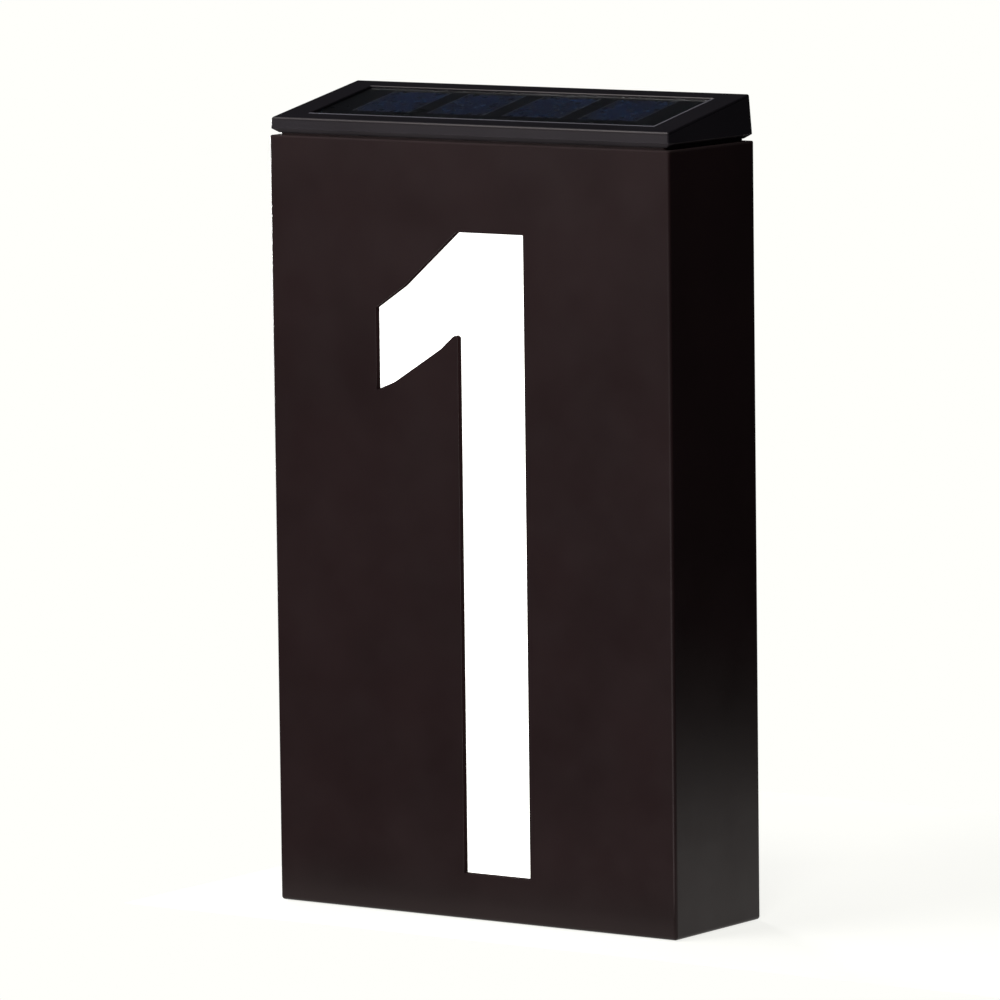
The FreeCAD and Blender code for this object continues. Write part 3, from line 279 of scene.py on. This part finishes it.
def rubber(name, colour=(0.012, 0.012, 0.012)):
    """Matt rubber or foam with a coarse grain."""
    m = Nodes(name)
    m.set(Specular_IOR_Level=0.35)
    m.join(m.between(m.noise(400, 3), shade(colour, 0.8), shade(colour, 1.5)),
           m.shader.inputs["Base Color"])
    m.join(m.spread(m.noise(700, 2), 0.62, 0.8), m.shader.inputs["Roughness"])
    m.bump(m.noise(1800, 2), 0.02 * MM)
    return m.material


GLOW_TURN = 5.5         # from the warmer to the whiter glow, per metre of height
LIT_HEIGHT = 0.17


def opal(name):
    """Opal sheet lit from the LEDs above: an even glow that falls off a little downwards."""
    m = Nodes(name)
    m.set(Roughness=0.3)
    m.join(m.between(m.noise(60, 2), (0.86, 0.86, 0.84), (0.9, 0.9, 0.885)),
           m.shader.inputs["Base Color"])
    _, _, height = m.axes()
    glow = m.between(m.math("MULTIPLY", height, GLOW_TURN), (0.985, 0.985, 0.93),
                     (1.0, 1.0, 0.965), 0.0, 1.0)
    m.join(glow, m.shader.inputs["Emission Color"])
    fall = m.spread(height, 1.0, 1.12, 0.0, LIT_HEIGHT)
    haze = m.math("MULTIPLY", fall, m.spread(m.noise(25, 1), 0.99, 1.01))
    m.join(haze, m.shader.inputs["Emission Strength"])
    m.bump(m.noise(900, 2), 0.004 * MM)
    return m.material


def clear(name, tint, roughness, pits=None):
    """Clear plastic or glass."""
    m = Nodes(name)
    m.set(Transmission_Weight=1.0, IOR=1.48)
    m.join(m.between(m.noise(30, 1), shade(tint, 0.97), tint), m.shader.inputs["Base Color"])
    m.join(m.spread(m.noise(300, 2), roughness, roughness + 0.03), m.shader.inputs["Roughness"])
    if pits:
        dots = m.add("ShaderNodeTexVoronoi")
        dots.inputs["Scale"].default_value = pits
        m.join(m.place, dots.inputs["Vector"])
        m.bump(dots.outputs["Distance"], 0.03 * MM)
    return m.material


CRYSTAL_SCALE = 420         # crystals of about 2.4 mm
COLLECTOR_PITCH = 1.7 * MM
CELL_INNER_SHARE = 0.486    # from a cell's middle to its pale edge, in shares of its width


def silicon(name):
    """Dark blue cell with fine collecting lines across it and a faint crystal pattern."""
    m = Nodes(name)
    crystals = m.add("ShaderNodeTexVoronoi")
    crystals.inputs["Scale"].default_value = CRYSTAL_SCALE
    m.join(m.place, crystals.inputs["Vector"])
    tone = m.between(crystals.outputs["Color"], (0.0046, 0.0152, 0.0525),
                     (0.0060, 0.0190, 0.0640), 0.2, 0.8)
    _, along, _ = m.axes()
    wave = m.math("SINE", m.math("MULTIPLY", along, 2 * math.pi / COLLECTOR_PITCH))
    tone = m.blend(m.spread(wave, 0.0, 1.0, 0.985, 1.0), tone, (0.05, 0.055, 0.062))
    share = m.add("ShaderNodeTexCoord").outputs["Generated"]
    edge = 0.0
    for part in m.axes(share)[:2]:
        off_centre = m.math("ABSOLUTE", m.math("SUBTRACT", part, 0.5))
        beyond = m.math("GREATER_THAN", off_centre, CELL_INNER_SHARE)
        edge = m.math("MAXIMUM", edge, beyond)
    tone = m.blend(edge, tone, (0.060, 0.066, 0.080))
    m.join(tone, m.shader.inputs["Base Color"])
    m.join(m.spread(crystals.outputs["Distance"], 0.26, 0.31, 0.2, 0.8),
           m.shader.inputs["Roughness"])
    return m.material


TRACK_PITCH = 2.3 * MM


def board(name, mask, copper):
    """Circuit board: solder mask with tracks showing through it."""
    m = Nodes(name)
    across, along, _ = m.axes()
    grid = 2 * math.pi / TRACK_PITCH
    steps = m.math("SNAP", m.math("MULTIPLY", m.noise(140, 0), 6.0), 1.0)
    ways = m.math("SINE", m.math("ADD", m.math("MULTIPLY", across, grid), steps))
    rows = m.math("SINE", m.math("ADD", m.math("MULTIPLY", along, grid), steps))
    track = m.math("MAXIMUM", ways, rows)
    m.join(m.between(track, mask, copper, 0.90, 0.93), m.shader.inputs["Base Color"])
    m.join(m.spread(m.noise(500, 2), 0.22, 0.34), m.shader.inputs["Roughness"])
    m.bump(m.spread(track, 0.0, 1.0, 0.88, 0.94), 0.02 * MM)
    return m.material


def part_metal(m, mask, tone, metal_tone=(0.62, 0.59, 0.54)):
    """Bare plated metal where the mask is 1, the given tone elsewhere."""
    plated = m.between(m.noise(320, 2), shade(metal_tone, 0.85), metal_tone)
    m.join(m.blend(mask, tone, plated), m.shader.inputs["Base Color"])
    m.join(mask, m.shader.inputs["Metallic"])


SLEEVE = (-26.0 * MM, 23.0 * MM)    # from the sleeve's first end to its second
BAND_SHARE = 0.18                   # how much of the sleeve the pale band takes


def wrap(name, sleeve, band, ends):
    """Shrink sleeve of the battery with a paler band at one end, and bare metal ends."""
    m = Nodes(name)
    across, _, _ = m.axes()
    tone = m.between(m.spread(across, 0.0, 1.0, *SLEEVE), band, sleeve,
                     BAND_SHARE, BAND_SHARE + 0.005)
    bare = m.math("MAXIMUM", m.math("LESS_THAN", across, ends[0] * MM),
                  m.math("GREATER_THAN", across, ends[1] * MM))
    part_metal(m, bare, tone)
    m.join(m.spread(m.noise(260, 2, stretch=(1, 3, 3)), 0.2, 0.32),
           m.shader.inputs["Roughness"])
    m.bump(m.noise(500, 2, stretch=(0.2, 1, 1)), 0.01 * MM)
    return m.material


def chip_resin(name, colour, middle, half_width):
    """Black resin with a fine grain; the legs that stand out of it are tinned."""
    m = moulded_nodes(name, colour, roughness=0.5, grain=3000, depth=0.01, mottle=0.1,
                      sheen=0.5)
    _, along, _ = m.axes()
    off = m.math("ABSOLUTE", m.math("SUBTRACT", along, middle * MM))
    part_metal(m, m.math("GREATER_THAN", off, half_width * MM), m.colour)
    return m.material


# After the colour of a moulded one come its roughness, its grain's scale and depth, its mottle.
materials = {
    "dark_body": case_plastic("dark_body"),
    "opal_diffuser": opal("opal_diffuser"),
    "clear_acrylic": clear("clear_acrylic", (0.96, 0.98, 0.985), 0.06, 900),
    "reflector_white": moulded("reflector_white", (0.86, 0.86, 0.85), 0.5, 1500, 0.004, 0.02),
    "inner_white": moulded("inner_white", (0.66, 0.66, 0.64), 0.45, 2200, 0.01, 0.03),
    "inner_grey": moulded("inner_grey", (0.030, 0.030, 0.032), 0.45, 2200, 0.012, 0.10),
    "seal_rubber": rubber("seal_rubber"),
    "screw_steel": metal("screw_steel", (0.52, 0.51, 0.49)),
    "contact_nickel": metal("contact_nickel", (0.62, 0.59, 0.54), 0.22),
    "foam_tape": rubber("foam_tape", (0.02, 0.02, 0.02)),
    "panel_black": moulded("panel_black", (0.0018, 0.0030, 0.0042), 0.3, 900, 0.006, 0.15),
    "cell_blue": silicon("cell_blue"),
    "busbar_silver": metal("busbar_silver", (0.20, 0.21, 0.22), 0.35, (1, 8, 1)),
    "cover_glass": clear("cover_glass", (0.94, 0.97, 0.98), 0.03),
    "cell_wrap": wrap("cell_wrap", (0.015, 0.12, 0.035), (0.55, 0.56, 0.55), (-26.3, 22.35)),
    "board_green": board("board_green", (0.006, 0.055, 0.018), (0.016, 0.10, 0.03)),
    "board_white": board("board_white", (0.72, 0.72, 0.69), (0.60, 0.61, 0.58)),
    "chip_black": chip_resin("chip_black", (0.012, 0.012, 0.013), -1.0, 2.03),
    "ferrite": moulded("ferrite", (0.022, 0.02, 0.019), 0.55, 2400, 0.02, 0.2),
    "component_tan": moulded("component_tan", (0.16, 0.10, 0.045), 0.4, 2000, 0.006, 0.15),
    "led_phosphor": moulded("led_phosphor", (0.83, 0.72, 0.20), 0.3, 1200, 0.004, 0.05),
    "switch_black": moulded("switch_black", (0.011, 0.011, 0.011), 0.42, 2400, 0.01, 0.1),
    "lead_red": moulded("lead_red", (0.30, 0.006, 0.006), 0.32, 900, 0.004, 0.08),
    "lead_black": moulded("lead_black", (0.009, 0.009, 0.009), 0.32, 900, 0.004, 0.08),
}

copper_wire = metal("copper_wire", (0.62, 0.22, 0.09), 0.3, (1, 1, 1))
solder = metal("solder", (0.50, 0.50, 0.52), 0.24, (1, 1, 1))
package_white = moulded("package_white", (0.78, 0.78, 0.75), 0.35, 2600, 0.004, 0.03)


def dress(thing, material):
    """Gives the thing this material and no other."""
    thing.data.materials.clear()
    thing.data.materials.append(material)


for row in frame["record"]["subparts"]:
    dress(frame["nodes"][row["node"]], materials[row["material_slot"]])


# ---------------------------------------------------------------- fine pieces
# Places in millimetres, as the solids have them.
BOARD_TOP = 177.6
LED_MIDDLES = (-35.0, -21.0, -7.0, 7.0, 21.0, 35.0)
LED_Y = -12.8
LED_TOP = 171.0
LED_HEIGHT = 0.8
LED_HALF = (1.75, 1.4)
# Middles of the small parts and half their lengths and widths, then the leads' ends.
CHIP_PARTS = (((11.0, -4.0), (1.0, 0.625)), ((11.0, 0.0), (1.0, 0.625)),
              ((11.0, 4.0), (1.6, 0.8)), ((-2.5, 4.5), (1.6, 0.8)))
LEAD_LANDINGS = ((-17.0, -5.0), (17.5, -5.0), (-21.0, 1.8), (21.0, 1.8),
                 (-3.8, -6.6), (3.8, -6.6))
LEAD_RADIUS = 0.6
COIL_MIDDLE = (-9.0, 1.0)
COIL_RADIUS = 2.2
COIL_LOW, COIL_HIGH = BOARD_TOP + 0.85, BOARD_TOP + 2.45
COIL_WIRE = 0.11


def piece(name, shape, material, body="solar_head", smooth=True):
    """A finished mesh as a piece on a body; the shape is in millimetres."""
    bmesh.ops.recalc_face_normals(shape, faces=shape.faces)
    bmesh.ops.scale(shape, vec=(MM, MM, MM), verts=shape.verts)
    mesh = bpy.data.meshes.new(name)
    shape.to_mesh(mesh)
    shape.free()
    if smooth:
        mesh.shade_smooth()
    thing = bpy.data.objects.new(name, mesh)
    bpy.context.scene.collection.objects.link(thing)
    dress(thing, material)
    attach(thing, body)
    return thing


def skin(shape, loops):
    """Closed skin over loops that have the same number of points each."""
    rows = [[shape.verts.new(point) for point in loop] for loop in loops]
    count = len(rows[0])
    for low, high in zip(rows, rows[1:]):
        for i in range(count):
            j = (i + 1) % count
            shape.faces.new((low[i], low[j], high[j], high[i]))
    shape.faces.new(rows[0])
    shape.faces.new(rows[-1])


def circle(x, y, z, radius, count=32):
    """Points of a level circle."""
    turns = [2 * math.pi * i / count for i in range(count)]
    return [(x + radius * math.cos(a), y + radius * math.sin(a), z) for a in turns]


def rounded(x, y, z, half_x, half_y, corner, count=32):
    """Rounded rectangle with its points in step with circle()'s."""
    points = []
    for i in range(count):
        turn = 2 * math.pi * (i + 0.5) / count
        c, s = math.cos(turn), math.sin(turn)
        side_x, side_y = math.copysign(half_x - corner, c), math.copysign(half_y - corner, s)
        points.append((x + side_x + corner * c, y + side_y + corner * s, z))
    return points


def bevelled_block(shape, middle, half, low, high, bevel):
    """Block with its upper edges bevelled."""
    corner = bevel * 1.5
    skin(shape, [rounded(*middle, low, *half, corner, 16),
                 rounded(*middle, high - bevel, *half, corner, 16),
                 rounded(*middle, high, half[0] - bevel, half[1] - bevel, corner * 0.5, 16)])


def led_packages():
    """White reflector cups around the LEDs' phosphor, open below."""
    shape = bmesh.new()
    low = LED_TOP - LED_HEIGHT
    half_x, half_y = LED_HALF
    for x in LED_MIDDLES:
        skin(shape, [rounded(x, LED_Y, LED_TOP, half_x - 0.05, half_y - 0.05, 0.12),
                     rounded(x, LED_Y, low + 0.1, half_x, half_y, 0.14),
                     rounded(x, LED_Y, low, half_x - 0.1, half_y - 0.1, 0.12),
                     circle(x, LED_Y, low, 1.18), circle(x, LED_Y, low + 0.3, 0.86)])
    return piece("led_packages", shape, package_white, smooth=False)


def led_domes():
    """Shallow phosphor fillings in the cups."""
    shape = bmesh.new()
    low = LED_TOP - LED_HEIGHT
    for x in LED_MIDDLES:
        skin(shape, [circle(x, LED_Y, low + 0.28, 0.90), circle(x, LED_Y, low + 0.10, 1.06),
                     circle(x, LED_Y, low + 0.05, 0.80), circle(x, LED_Y, low + 0.02, 0.40),
                     circle(x, LED_Y, low + 0.015, 0.12)])
    return piece("led_domes", shape, materials["led_phosphor"])


def led_terminals():
    """Tinned terminals at both ends of each LED."""
    shape = bmesh.new()
    for x in LED_MIDDLES:
        for side in (-1, 1):
            bevelled_block(shape, (x + side * (LED_HALF[0] - 0.05), LED_Y), (0.16, 1.1),
                           LED_TOP - 0.28, LED_TOP, 0.03)
    return piece("led_terminals", shape, solder, smooth=False)


def component_caps():
    """Tinned end caps of the small parts on the control board."""
    shape = bmesh.new()
    for (x, y), (half_long, half_wide) in CHIP_PARTS:
        cap = half_long * 0.24
        for side in (-1, 1):
            bevelled_block(shape, (x + side * (half_long - cap + 0.03), y),
                           (cap, half_wide + 0.03), BOARD_TOP, BOARD_TOP + half_wide + 0.03, 0.05)
    return piece("component_caps", shape, solder, smooth=False)


def solder_joints():
    """Solder cones around the leads where they meet the control board."""
    shape = bmesh.new()
    for x, y in LEAD_LANDINGS:
        skin(shape, [circle(x, y, BOARD_TOP, LEAD_RADIUS + 0.62, 24),
                     circle(x, y, BOARD_TOP + 0.10, LEAD_RADIUS + 0.40, 24),
                     circle(x, y, BOARD_TOP + 0.28, LEAD_RADIUS + 0.20, 24),
                     circle(x, y, BOARD_TOP + 0.52, LEAD_RADIUS + 0.08, 24),
                     circle(x, y, BOARD_TOP + 0.75, LEAD_RADIUS + 0.02, 24)])
    return piece("solder_joints", shape, solder)


def inductor_coil():
    """Close helix of copper wire between the drum core's flanges."""
    shape = bmesh.new()
    turns = int((COIL_HIGH - COIL_LOW) / (2 * COIL_WIRE))
    steps = 32
    sides = 8
    last = turns * steps
    climb = COIL_HIGH - COIL_LOW - 2 * COIL_WIRE
    loops = []
    for i in range(last + 1):
        turn = 2 * math.pi * i / steps
        height = COIL_LOW + COIL_WIRE + climb * i / last
        loop = []
        for k in range(sides):
            around = 2 * math.pi * k / sides
            radius = COIL_RADIUS + COIL_WIRE * math.cos(around)
            loop.append((COIL_MIDDLE[0] + radius * math.cos(turn),
                         COIL_MIDDLE[1] + radius * math.sin(turn),
                         height + COIL_WIRE * math.sin(around)))
        loops.append(loop)
    skin(shape, loops)
    return piece("inductor_coil", shape, copper_wire)


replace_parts(led_packages(), "leds")
led_domes()
led_terminals()
component_caps()
solder_joints()
inductor_coil()


# ---------------------------------------------------------------- floor, light and camera
def plane(name, half_x, half_y, middle):
    """Level rectangle."""
    mesh = bpy.data.meshes.new(name)
    corners = [(-half_x, -half_y, 0), (half_x, -half_y, 0), (half_x, half_y, 0),
               (-half_x, half_y, 0)]
    mesh.from_pydata([Vector(c) + Vector(middle) for c in corners], [], [(0, 1, 2, 3)])
    thing = bpy.data.objects.new(name, mesh)
    bpy.context.scene.collection.objects.link(thing)
    return thing


FLOOR_LIFT = 0.80                   # lifts the pale paper to the backdrop's white
FLOOR_HALF = (0.135, 0.11)
FLOOR_MIDDLE = (0.05, 0.07, -0.0002)
PAPER_WHITE = (1.0, 1.0, 0.965, 1.0)
ROOM_TONE = (0.014, 0.014, 0.016, 1.0)


def floor_material():
    """Pale paper, lifted to white where it is seen straight, mirrored or through glass."""
    m = Nodes("pale_floor")
    m.set(Roughness=0.7, Specular_IOR_Level=0.1)
    m.join(m.between(m.noise(14, 2), (0.20, 0.20, 0.185), (0.22, 0.22, 0.205)),
           m.shader.inputs["Base Color"])
    sight = m.add("ShaderNodeLightPath")
    seen = m.math("MAXIMUM", sight.outputs["Is Camera Ray"],
                  m.math("MAXIMUM", sight.outputs["Is Glossy Ray"],
                         sight.outputs["Is Transmission Ray"]))
    m.join(m.math("MULTIPLY", seen, FLOOR_LIFT), m.shader.inputs["Emission Strength"])
    m.set(Emission_Color=PAPER_WHITE)
    return m.material


floor = plane("floor", *FLOOR_HALF, FLOOR_MIDDLE)
dress(floor, floor_material())


def lamp(name, place, target, size, watts):
    """Square lamp at a place, turned to a target."""
    data = bpy.data.lights.new(name, "AREA")
    data.shape = "SQUARE"
    data.size = size
    data.energy = watts
    thing = bpy.data.objects.new(name, data)
    thing.location = place
    aim = Vector(target) - Vector(place)
    thing.rotation_euler = aim.to_track_quat("-Z", "Y").to_euler()
    bpy.context.scene.collection.objects.link(thing)


lamp("key_softbox", (-0.55, -0.95, 0.95), (0, 0, 0.1), 0.7, 15.0)
lamp("fill_softbox", (0.45, -0.7, 0.9), (0, 0, 0.19), 0.3, 7.0)
lamp("back_softbox", (-1.0, 0.75, 0.18), (0, 0, 0.1), 0.3, 14.0)
lamp("low_softbox", (0.1, -1.1, -0.5), (0, 0, 0.12), 0.5, 8.0)
lamp("top_softbox", (-0.5, -0.2, 1.1), (0, 0, 0.15), 0.5, 4.5)
lamp("sheen_softbox", (-0.157, -0.306, 0.262), (0.04, 0, 0.165), 0.12, 0.15)


BACKDROP_WAY = (-0.57, 0.82, 0.0)   # from the sign to the middle of the paper behind it
BACKDROP_EDGE = 0.90                # cosine of the paper's half width as the sign sees it
BACKDROP_TOP = 0.08                 # sine of the height of its upper edge


def world():
    """White to the camera all round, else a dim room with a white backdrop behind the sign."""
    scene_world = bpy.data.worlds.new("studio")
    scene_world.use_nodes = True
    tree = scene_world.node_tree

    sight = tree.nodes.new("ShaderNodeLightPath").outputs
    way = tree.nodes.new("ShaderNodeTexCoord").outputs["Generated"]
    facing = tree.nodes.new("ShaderNodeVectorMath")
    facing.operation = "DOT_PRODUCT"
    facing.inputs[1].default_value = BACKDROP_WAY
    tree.links.new(way, facing.inputs[0])
    height = tree.nodes.new("ShaderNodeSeparateXYZ")
    tree.links.new(way, height.inputs[0])
    ahead = math_node(tree, "GREATER_THAN", facing.outputs["Value"], BACKDROP_EDGE)
    below = math_node(tree, "LESS_THAN", height.outputs["Z"], BACKDROP_TOP)
    paper = math_node(tree, "MULTIPLY", ahead, below)
    mirrored = math_node(tree, "MAXIMUM", sight["Is Glossy Ray"], sight["Is Transmission Ray"])
    seen = math_node(tree, "MAXIMUM", sight["Is Camera Ray"],
                     math_node(tree, "MULTIPLY", paper, mirrored))
    mix = tree.nodes.new("ShaderNodeMix")
    mix.data_type = "RGBA"
    mix.inputs["A"].default_value = ROOM_TONE
    mix.inputs["B"].default_value = PAPER_WHITE
    tree.links.new(seen, mix.inputs["Factor"])
    tree.links.new(mix.outputs["Result"], tree.nodes["Background"].inputs["Color"])
    bpy.context.scene.world = scene_world


world()

CAMERA_YAW = math.radians(35.181)
CAMERA_ELEVATION = math.radians(6.766)
CAMERA_ROLL = math.radians(0.691)
CAMERA_PLACE = Vector((1.09516, -1.55913, 0.32203))
FOCAL_PIXELS = 8285.0
IMAGE_PIXELS = 1000.0
SENSOR = 36.0


def camera():
    """Camera at the photo's place and angle."""
    level = math.cos(CAMERA_ELEVATION)
    ahead = Vector((-math.sin(CAMERA_YAW) * level, math.cos(CAMERA_YAW) * level,
                    -math.sin(CAMERA_ELEVATION)))
    right = ahead.cross(Vector((0, 0, 1))).normalized()
    down = ahead.cross(right)
    c, s = math.cos(CAMERA_ROLL), math.sin(CAMERA_ROLL)
    right, down = c * right + s * down, -s * right + c * down
    data = bpy.data.cameras.new("camera")
    data.sensor_width = SENSOR
    data.lens = FOCAL_PIXELS * SENSOR / IMAGE_PIXELS
    data.clip_end = 50
    thing = bpy.data.objects.new("camera", data)
    turn = Matrix((right, -down, -ahead)).transposed().to_4x4()
    thing.matrix_world = Matrix.Translation(CAMERA_PLACE) @ turn
    bpy.context.scene.collection.objects.link(thing)
    bpy.context.scene.camera = thing


camera()
bpy.context.scene.view_settings.view_transform = "Standard"
